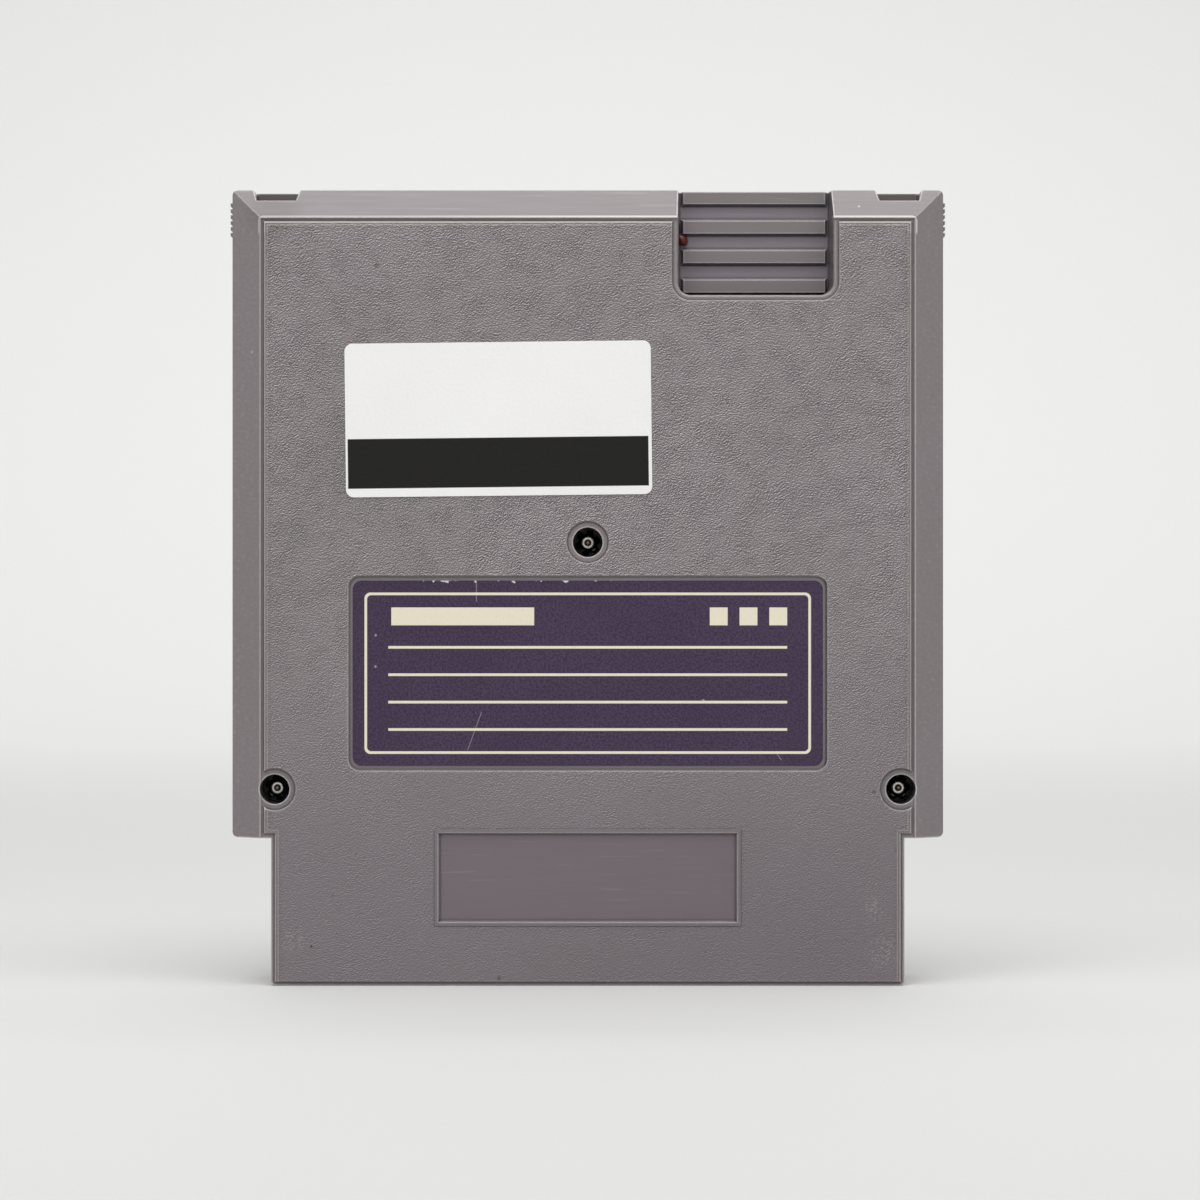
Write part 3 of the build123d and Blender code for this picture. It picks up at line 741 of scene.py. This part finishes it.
class CARTRIDGE_OT_shell(Operator):
    """Grey moulded plastic with grained faces, worn edges and soiled wells on both shell halves"""

    bl_idname = "cartridge.shell"
    bl_label = "Shell plastic"

    def execute(self, context):
        finish = context.scene.cartridge_finish
        coat = ShellCoat("moulded_grey_plastic")
        grain = coat.group(moulded_grain, grain_size=finish.grain_size, lean=finish.grain_lean)
        soil = coat.soil(7 * MM, 0.55 * MM)
        edges = coat.group(
            rounded_edges, radius=finish.edge_radius, reach=finish.edge_reach,
            corner_reach=finish.corner_reach,
        )
        patches = coat.fade(grain["Patches"], 0.0, 1.0, 0.72, 1.0)
        # The grain's painted highlights and shade, and its bump, fade down the panel, where the overhead light
        # grazes it less.
        handled = coat.times(coat.grained, patches, coat.fade(coat.up, *GRAIN_UP, 0.5, 1.0))
        colour = coat.layers(
            finish.shell_colour,
            *coat.grain(grain["Slope"], handled),
            *coat.smudges(soil["Smudge"], finish.soil_colour),
            *coat.pocket(),
            *coat.edges(edges["Outer"], edges["Inner"]),
            *coat.specks(soil["Light"], soil["Dark"]),
            *coat.hollows(),
        )
        normal = coat.bump(grain["Height"], finish.grain_depth, edges["Normal"], handled)
        coat.shade(colour, coat.fade(coat.grained, 0.0, 1.0, 0.4, 0.44), normal)
        coat.dress("back_shell", "front_shell")
        return {"FINISHED"}


class CARTRIDGE_OT_screws(Operator):
    """Three security screws with notched heads and a dimpled boss, deep in their wells"""

    bl_idname = "cartridge.screws"
    bl_label = "Screws"

    def execute(self, context):
        finish = context.scene.cartridge_finish
        axes = screw_axes()
        coat = Coat("dark_plated_and_shaded_steel")
        lines = coat.group(fine_lines, lean=0.4, length=2 * MM, thickness=0.06 * MM, threshold=0.6)
        bosses = [coat.spot(x, z, BOSS_RADIUS) for x, z in axes]
        dimples = [coat.spot(x, z, DIMPLE_RADIUS) for x, z in axes]
        glints = [
            coat.field(x + side * GLINT_ASIDE, z - GLINT_DROP, *GLINT_SIZE, side * GLINT_TURN)["Mask"]
            for x, z in axes for side in (-1, 1)
        ]
        smudge = coat.soil(0.8 * MM, 0.3 * MM)["Smudge"]
        bright = coat.layers(finish.screw_colour, ("smudges", smudge, 0.45, rgb(70, 62, 56)))
        # Heads dark as plating and as painted shade of the deep wells, with worn bright bosses and painted
        # glints low on each head.
        colour = coat.layers(
            rgb(30, 27, 24),
            ("worn_metal_and_glints", coat.most(*glints, *bosses), 1.0, bright),
            ("dimples", coat.most(*dimples), 0.8, rgb(110, 80, 64)),
        )
        coat.shade(colour, coat.fade(lines["Tone"], 0.3, 0.7, 0.2, 0.42), metallic=1.0)

        mesh = bmesh.new()
        for (x, z), turn in zip(axes, SCREW_TURNS):
            lathe(mesh, self.rings(x, z, radians(turn)), SCREW_SEGMENTS)
        piece = new_object("notched_screws", mesh, coat.material)
        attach(piece, "root")
        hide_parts("screws")
        return {"FINISHED"}

    def rings(self, x, z, turn):
        """Rings of one screw from its tip up to the dimple in its boss."""
        top = SCREW_SEAT_Y - HEAD_HEIGHT
        crown = top - BOSS_HEIGHT
        tip = SCREW_SEAT_Y + SHANK_LENGTH
        shank = [(0.5 * SHANK_RADIUS, tip), (0.85 * SHANK_RADIUS, tip - 0.3 * MM)]
        for n in range(int(SHANK_LENGTH / THREAD_PITCH) - 1):
            level = tip - TIP_LENGTH - n * THREAD_PITCH
            shank.append((SHANK_RADIUS - THREAD_DEPTH, level))
            shank.append((SHANK_RADIUS, level - THREAD_PITCH / 2))
        shank.append((SHANK_RADIUS, SCREW_SEAT_Y))
        head = [
            (HEAD_RADIUS, SCREW_SEAT_Y),
            (HEAD_RADIUS, top + 0.4 * MM),
            (HEAD_RADIUS - 0.1 * MM, top + 0.12 * MM),
            (HEAD_RADIUS - 0.3 * MM, top),
        ]
        boss = [
            (BOSS_RADIUS + 0.12 * MM, top),
            (BOSS_RADIUS, top - 0.08 * MM),
            (BOSS_RADIUS - 0.03 * MM, crown + 0.1 * MM),
            (BOSS_RADIUS - 0.12 * MM, crown + 0.03 * MM),
            (BOSS_RADIUS - 0.26 * MM, crown),
            (DIMPLE_RADIUS + 0.04 * MM, crown),
            (DIMPLE_RADIUS, crown + 0.04 * MM),
            (DIMPLE_RADIUS * 0.6, crown + 0.2 * MM),
            (DIMPLE_RADIUS * 0.2, crown + 0.25 * MM),
        ]
        return [
            [self.point(x, z, turn, n, radius, level, part is head) for n in range(SCREW_SEGMENTS)]
            for part in (shank, head, boss) for radius, level in part
        ]

    def point(self, x, z, turn, number, radius, level, notched):
        angle = 2 * pi * number / SCREW_SEGMENTS
        if notched:
            radius -= HEAD_RADIUS - self.outline(angle)
        return Vector((x + radius * cos(angle + turn), level, z + radius * sin(angle + turn)))

    def outline(self, angle):
        """Radius of the head at an angle, less in the round notches."""
        step = 2 * pi / NOTCH_COUNT
        away = (angle + step / 2) % step - step / 2
        aside = HEAD_RADIUS * sin(away)
        if abs(aside) >= NOTCH_RADIUS:
            return HEAD_RADIUS
        bite = HEAD_RADIUS * cos(away) - sqrt(NOTCH_RADIUS**2 - aside**2)
        return min(HEAD_RADIUS, bite)


class CARTRIDGE_OT_label(Operator):
    """Purple printed paper with cream shapes, scuffed along its upper edge"""

    bl_idname = "cartridge.label"
    bl_label = "Back label"

    def execute(self, context):
        finish = context.scene.cartridge_finish
        coat = Coat("purple_label_paper")
        mottle = coat.clouds(0.35 * MM, 3.0, 0.65)
        soil = coat.soil(5 * MM, 0.3 * MM)
        worn_print = coat.fade(coat.clouds(0.25 * MM), 0.25, 0.4, 0.75, 1.0)

        # White paper where the upper edge is scuffed, along the scratches and at the cut edges
        chipped = coat.fade(coat.clouds(1.6 * MM), 0.5, 0.75, *SCUFF_DEPTH)
        scuff = coat.field(*SCUFF_EDGE, chipped, softness=0.08 * MM)["Mask"]
        scratches = [coat.field(*place, turn=turn)["Mask"] for *place, turn in SCRATCHES]
        cut = coat.math("GREATER_THAN", coat.place()[1], LABEL_LOW.y + PAPER_EDGE)
        white = coat.most(
            coat.times(scuff, 0.95),
            coat.times(coat.most(*scratches), 0.45),
            coat.times(cut, 0.6),
            coat.times(soil["Light"], 0.35),
        )
        colour = coat.layers(
            finish.label_colour,
            ("mottled_ink", coat.fade(mottle, 0.35, 0.65), 1.0, rgb(78, 60, 88)),
            ("smudges", soil["Smudge"], 0.3, rgb(50, 35, 58)),
            ("printed_shapes", coat.times(self.shapes(coat), worn_print), 1.0, finish.print_colour),
            ("bare_paper", white, 1.0, rgb(226, 221, 216)),
        )
        normal = coat.bump(coat.minus(mottle, coat.times(white, 1.5)), 0.012 * MM)
        coat.shade(colour, coat.fade(mottle, 0.3, 0.7, 0.42, 0.55), normal, specular=0.35)
        coat.dress("back_label")
        return {"FINISHED"}

    def shapes(self, coat):
        """One mask of the keyline, the heading bar, the squares and the ruled lines."""
        x, z = LABEL_CENTRE.x, LABEL_CENTRE.z
        half_width = (LABEL_HIGH.x - LABEL_LOW.x) / 2
        half_height = (LABEL_HIGH.z - LABEL_LOW.z) / 2
        insets = (KEYLINE_INSET, KEYLINE_INSET + 2 * RULE_HALF_HEIGHT)
        outer, inner = [
            coat.field(x, z, half_width - inset, half_height - inset, radius)["Mask"]
            for inset, radius in zip(insets, KEYLINE_RADII)
        ]
        heading_z = z + half_height - HEADING_DROP
        places = [
            (x + HEADING_X, heading_z, HEADING_HALF_WIDTH, HEADING_HALF_HEIGHT),
            *((x + aside, heading_z, HEADING_HALF_HEIGHT, HEADING_HALF_HEIGHT) for aside in SQUARES_X),
            *((x, heading_z - drop, half_width - RULE_INSET, RULE_HALF_HEIGHT) for drop in RULE_DROPS),
        ]
        return coat.most(coat.minus(outer, inner), *[coat.field(*place)["Mask"] for place in places])


class CARTRIDGE_OT_sticker(Operator):
    """White paper sticker with a black band, put on over the grain"""

    bl_idname = "cartridge.sticker"
    bl_label = "Paper sticker"

    def execute(self, context):
        finish = context.scene.cartridge_finish
        coat = Coat("white_sticker_paper")
        grain = coat.group(moulded_grain, grain_size=0.5 * MM, lean=finish.grain_lean)
        soil = coat.soil(9 * MM, 0.25 * MM)
        fibres = coat.clouds(0.2 * MM, 3.0, 0.7)
        band_x = STICKER_CENTRE.x + BAND_DROP * sin(STICKER_TURN) + BAND_SHIFT
        band_z = STICKER_CENTRE.z - BAND_DROP * cos(STICKER_TURN)
        band = coat.field(band_x, band_z, *BAND_SIZE, turn=STICKER_TURN, softness=0.07 * MM)["Mask"]
        cut = coat.math("GREATER_THAN", coat.place()[1], STICKER_LOW.y + PAPER_EDGE)
        toner_fibres = coat.fade(fibres, 0.35, 0.75)
        toner = coat.layers(finish.band_colour, ("fibres", toner_fibres, 0.35, rgb(32, 31, 29)))
        colour = coat.layers(
            finish.sticker_colour,
            ("fibres", coat.fade(fibres, 0.3, 0.7), 0.3, rgb(238, 238, 240)),
            ("smudges", soil["Smudge"], 0.12, rgb(214, 212, 210)),
            ("black_band", band, 1.0, toner),
            ("cut_edge", cut, 0.7, rgb(190, 188, 188)),
            ("dark_specks", soil["Dark"], 0.5, rgb(120, 116, 114)),
        )
        normal = coat.bump(grain["Height"], 0.012 * MM)
        coat.shade(colour, coat.fade(band, 0.0, 1.0, 0.5, 0.4), normal, specular=0.28)
        coat.dress("paper_sticker")
        return {"FINISHED"}


class CARTRIDGE_OT_drip(Operator):
    """Small dried drip between the pocket's left wall and its ribs"""

    bl_idname = "cartridge.drip"
    bl_label = "Dried drip"

    def execute(self, context):
        coat = Coat("dried_red_brown_drip")
        cloud = coat.clouds(0.5 * MM, 4.0, 0.6)
        colour = coat.layers(
            context.scene.cartridge_finish.drip_colour,
            ("clouds", coat.fade(cloud, 0.35, 0.7), 1.0, rgb(50, 10, 6)),
            # The tail darkens upwards as painted shade behind the rib.
            ("painted_shade_tail", coat.fade(coat.place()[2], *DRIP_DARK_Z), 1.0, rgb(26, 8, 6)),
        )
        coat.shade(colour, coat.fade(cloud, 0.3, 0.7, 0.25, 0.5), coat.bump(cloud, 0.06 * MM))

        mesh = bmesh.new()
        lathe(mesh, [self.ring(n / (DRIP_RINGS - 1)) for n in range(DRIP_RINGS)], DRIP_SEGMENTS)
        piece = new_object("dried_drip", mesh, coat.material)
        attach(piece, "root")
        return {"FINISHED"}

    def ring(self, share):
        """One ring of the drip, round at its foot and thin where it seeps up behind the rib."""
        bulb = sqrt(max(0.0, 1 - (share / DRIP_BULB_SHARE - 1) ** 2))
        radius = max(DRIP_RADIUS * bulb, DRIP_TAIL_RADIUS * min(1.0, 8 * share + 0.1))
        x = DRIP_X + (DRIP_TAIL_X - DRIP_X) * min(1.0, share * 2)
        z = DRIP_FOOT_Z + (DRIP_TOP_Z - DRIP_FOOT_Z) * share
        return [self.point(x, z, radius, 2 * pi * n / DRIP_SEGMENTS) for n in range(DRIP_SEGMENTS)]

    def point(self, x, z, radius, angle):
        """A point of a ring, a little uneven and kept out of the pocket's wall and floor."""
        uneven = radius * (1 + 0.08 * sin(3 * angle + 900 * z))
        wall_side = max(DRIP_WALL_X, x + uneven * cos(angle))
        floor_side = min(DRIP_FLOOR_Y, DRIP_Y + uneven * sin(angle))
        return Vector((wall_side, floor_side, z))


class CARTRIDGE_OT_board(Operator):
    """Green laminate with tracks, and its gold edge contacts"""

    bl_idname = "cartridge.board"
    bl_label = "Board and contacts"

    def execute(self, context):
        coat = Coat("green_board_laminate")
        x, _, z = coat.place()
        combed = coat.math("PINGPONG", x, TRACK_PITCH / 2)
        tracks = coat.times(coat.fade(combed, 0.85 * MM, 0.95 * MM), coat.fade(z, TRACK_TOP + MM, TRACK_TOP))
        crossing = coat.math("PINGPONG", z, BUS_SPACING)
        buses = coat.times(coat.fade(crossing, 0.4 * MM, 0.45 * MM), coat.fade(z, BUS_FOOT, BUS_FOOT + MM))
        copper = coat.most(tracks, buses)
        weave = coat.clouds(0.8 * MM, 3.0)
        colour = coat.layers(
            rgb(22, 74, 42),
            ("weave", coat.fade(weave, 0.3, 0.7), 1.0, rgb(30, 92, 52)),
            ("copper", copper, 0.7, rgb(62, 132, 74)),
        )
        coat.shade(colour, coat.fade(weave, 0.3, 0.7, 0.3, 0.45), coat.bump(copper, 0.03 * MM))
        coat.dress("circuit_board")

        gold = Coat("contact_gold_plating")
        wipes = gold.group(fine_lines, lean=pi / 2, length=8 * MM, thickness=0.12 * MM, threshold=0.58)
        colour = gold.layers(
            rgb(222, 176, 92),
            ("wipe_marks", wipes["Mask"], 0.5, rgb(196, 170, 120)),
            ("smudges", gold.soil(2 * MM, 0.3 * MM)["Smudge"], 0.3, rgb(150, 108, 52)),
        )
        gold.shade(colour, gold.fade(wipes["Tone"], 0.3, 0.7, 0.18, 0.38), metallic=1.0)
        gold.dress("contacts_back", "contacts_front")
        return {"FINISHED"}


class CARTRIDGE_OT_chips(Operator):
    """Black epoxy of the chips, and the tinned metal of every lead"""

    bl_idname = "cartridge.chips"
    bl_label = "Chips and leads"

    def execute(self, context):
        epoxy = Coat("black_chip_epoxy")
        grain = epoxy.group(moulded_grain, grain_size=0.15 * MM, lean=0.0)
        edges = epoxy.group(rounded_edges, radius=0.15 * MM, reach=0.3 * MM, corner_reach=0.3 * MM)
        colour = epoxy.layers(
            rgb(34, 33, 34),
            ("patches", grain["Patches"], 0.6, rgb(48, 47, 47)),
            # Pale outer edges: rubbing, and a painted highlight where they face up.
            ("rubbed_edges_and_highlight", edges["Outer"], 0.3, rgb(88, 86, 84)),
        )
        normal = epoxy.bump(grain["Height"], 0.02 * MM, edges["Normal"])
        epoxy.shade(colour, epoxy.fade(grain["Height"], 0.0, 1.0, 0.5, 0.7), normal)
        chips = ("program_rom", "graphics_rom", "lockout_chip")
        epoxy.dress(*chips)

        tin = Coat("tinned_lead_metal")
        smudge = tin.soil(1.5 * MM, 0.3 * MM)["Smudge"]
        colour = tin.layers(rgb(206, 206, 202), ("smudges", smudge, 0.6, rgb(150, 148, 142)))
        tin.shade(colour, tin.fade(smudge, 0.0, 1.0, 0.25, 0.45), metallic=1.0)
        tin.dress(*(chip + "_leads" for chip in chips), "electrolytic_leads", "ceramic_leads")
        return {"FINISHED"}


class CARTRIDGE_OT_capacitors(Operator):
    """Shrink sleeve of the electrolytic can, and the dipped ceramic of the discs"""

    bl_idname = "cartridge.capacitors"
    bl_label = "Capacitors"

    def execute(self, context):
        can_low, can_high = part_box("electrolytic_capacitor")
        stripe_x = middle((can_low.x, can_high.x)) - 1.2 * MM
        sleeve = Coat("blue_shrink_sleeve")
        x, _, z = sleeve.place()
        film = sleeve.clouds(1.2 * MM, 3.0)
        aside = sleeve.math("ABSOLUTE", sleeve.minus(x, stripe_x))
        cap = sleeve.fade(z, can_high.z - 0.05 * MM, can_high.z - 0.02 * MM)
        colour = sleeve.layers(
            rgb(24, 30, 58),
            ("film", sleeve.fade(film, 0.3, 0.7), 1.0, rgb(32, 40, 74)),
            ("stripe", sleeve.fade(aside, 0.55 * MM, 0.5 * MM), 0.8, rgb(188, 190, 196)),
            ("cap", cap, 1.0, rgb(176, 176, 174)),
        )
        sleeve.shade(colour, sleeve.fade(film, 0.3, 0.7, 0.25, 0.4), metallic=cap)
        sleeve.dress("electrolytic_capacitor")

        ceramic = Coat("tan_dipped_ceramic")
        grain = ceramic.group(moulded_grain, grain_size=0.4 * MM, lean=0.0)
        edges = ceramic.group(rounded_edges, radius=0.5 * MM, reach=0.4 * MM, corner_reach=0.4 * MM)
        colour = ceramic.layers(
            rgb(206, 142, 66),
            ("patches", grain["Patches"], 1.0, rgb(188, 122, 52)),
            # Inner corners darkened: dirt and painted shade.
            ("corner_dirt_and_shade", edges["Inner"], 0.5, rgb(120, 76, 34)),
        )
        normal = ceramic.bump(grain["Height"], 0.03 * MM, edges["Normal"])
        ceramic.shade(colour, ceramic.fade(grain["Height"], 0.0, 1.0, 0.3, 0.5), normal)
        ceramic.dress("ceramic_capacitors")
        return {"FINISHED"}


# Stage


class CARTRIDGE_OT_stage(Operator):
    """Pale floor that sweeps up into a backdrop, soft light from above, and the camera"""

    bl_idname = "cartridge.stage"
    bl_label = "Stage"

    def execute(self, context):
        stage = context.scene.cartridge_stage
        floor = self.sweep(stage)
        self.room(context.scene, stage)
        self.softbox("overhead_softbox", stage.key_power, (0.02, -0.14, 0.48), (0.0, 0.0, 0.1), (0.5, 0.25))
        self.softbox("front_softbox", stage.fill_power, (-0.10, -0.6, 0.55), (0.0, 0.0, 0.09), (0.8, 0.4))
        self.softbox("backdrop_wash", stage.wash_power, (0.0, 0.75, 1.5), (0.0, 1.4, 0.35), (1.6, 0.4), 130)
        far_side = self.softbox(
            "far_side_softbox", stage.far_power, (0.35, 0.6, 0.4), (0.0, 0.0, 0.075), (0.5, 0.4)
        )
        far_side.visible_camera = False
        self.spare(floor, far_side)
        self.camera(context.scene, stage)
        context.scene.view_settings.view_transform = "Standard"
        return {"FINISHED"}

    def sweep(self, stage):
        """The floor and backdrop in one sheet."""
        outline = [(SWEEP_FRONT_Y, 0.0)]
        for n in range(SWEEP_STEPS + 1):
            angle = pi / 2 * n / SWEEP_STEPS
            level = SWEEP_RADIUS - SWEEP_RADIUS * cos(angle)
            outline.append((SWEEP_BEND_Y + SWEEP_RADIUS * sin(angle), level))
        outline.append((SWEEP_BEND_Y + SWEEP_RADIUS, SWEEP_HEIGHT))
        mesh = bmesh.new()
        sides = (-SWEEP_HALF_WIDTH, SWEEP_HALF_WIDTH)
        rows = [[mesh.verts.new((x, y, z)) for x in sides] for y, z in outline]
        for low, high in zip(rows, rows[1:]):
            mesh.faces.new((low[0], low[1], high[1], high[0]))
        coat = Coat("pale_floor_paper")
        fibres = coat.fade(coat.clouds(1.5 * MM, 1.0, 0.6), 0.3, 0.7)
        coat.shade(coat.layers(stage.floor_colour, ("fibres", fibres, 0.1, rgb(215, 214, 213))), 0.8)
        floor = new_object("pale_sweep", mesh, coat.material)
        floor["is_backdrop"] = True
        return floor

    def room(self, scene, stage):
        """A white room that is dimmer where the camera sees it than where it lights the cartridge."""
        scene.world = bpy.data.worlds.new("white_room")
        scene.world.use_nodes = True
        graph = Graph(scene.world.node_tree)
        seen = graph.node("ShaderNodeLightPath").outputs["Is Camera Ray"]
        strength = graph.fade(seen, 0.0, 1.0, stage.ambient, stage.horizon)
        background = graph.tree.nodes["Background"]
        graph.feed_all(background, {"Color": rgb(252, 255, 254), "Strength": strength})

    def softbox(self, name, power, place, target, size, spread=180):
        """A rectangular light at a place, turned to a target, with its spread in degrees."""
        light = bpy.data.lights.new(name, "AREA")
        light.shape = "RECTANGLE"
        light.size, light.size_y = size
        light.energy = power
        light.spread = radians(spread)
        softbox = bpy.data.objects.new(name, light)
        softbox.location = place
        softbox.rotation_euler = (Vector(target) - Vector(place)).to_track_quat("-Z", "Y").to_euler()
        bpy.context.scene.collection.objects.link(softbox)
        return softbox

    def spare(self, floor, light):
        """Keeps a light off the floor."""
        unlit = bpy.data.collections.new("unlit_by_" + light.name)
        unlit.objects.link(floor)
        unlit.collection_objects[0].light_linking.link_state = "EXCLUDE"
        light.light_linking.receiver_collection = unlit

    def camera(self, scene, stage):
        """A level camera that looks straight at the back panel."""
        data = bpy.data.cameras.new("photo_camera")
        data.lens = stage.lens
        data.sensor_width = SENSOR_WIDTH
        camera = bpy.data.objects.new("photo_camera", data)
        camera.location = (stage.camera_shift, PANEL_Y - stage.camera_distance, stage.camera_height)
        camera.rotation_euler = (pi / 2, 0.0, 0.0)
        scene.collection.objects.link(camera)
        scene.camera = camera


PIECE_OPERATORS = (
    CARTRIDGE_OT_shell,
    CARTRIDGE_OT_screws,
    CARTRIDGE_OT_label,
    CARTRIDGE_OT_sticker,
    CARTRIDGE_OT_drip,
    CARTRIDGE_OT_board,
    CARTRIDGE_OT_chips,
    CARTRIDGE_OT_capacitors,
    CARTRIDGE_OT_stage,
)


class VIEW3D_PT_cartridge(Panel):
    """Lists the cartridge's pieces and their settings"""

    bl_label = "Cartridge"
    bl_space_type = "VIEW_3D"
    bl_region_type = "UI"
    bl_category = "Cartridge"

    def draw(self, context):
        for settings in (context.scene.cartridge_finish, context.scene.cartridge_stage):
            box = self.layout.box()
            for name in settings.__annotations__:
                box.prop(settings, name)
        for operator in PIECE_OPERATORS:
            self.layout.operator(operator.bl_idname)


CLASSES = (CartridgeFinish, CartridgeStage, *PIECE_OPERATORS, VIEW3D_PT_cartridge)


def register():
    for item in CLASSES:
        bpy.utils.register_class(item)
    bpy.types.Scene.cartridge_finish = PointerProperty(type=CartridgeFinish)
    bpy.types.Scene.cartridge_stage = PointerProperty(type=CartridgeStage)


def unregister():
    del bpy.types.Scene.cartridge_stage
    del bpy.types.Scene.cartridge_finish
    for item in reversed(CLASSES):
        bpy.utils.unregister_class(item)


def main():
    register()
    bpy.ops.cartridge.shell()
    bpy.ops.cartridge.screws()
    bpy.ops.cartridge.label()
    bpy.ops.cartridge.sticker()
    bpy.ops.cartridge.drip()
    bpy.ops.cartridge.board()
    bpy.ops.cartridge.chips()
    bpy.ops.cartridge.capacitors()
    bpy.ops.cartridge.stage()
    boxes = {"cad": [list(corner) for corner in CAD_BOX], "visual": [list(corner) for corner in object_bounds()]}


if __name__ == "__main__":
    main()
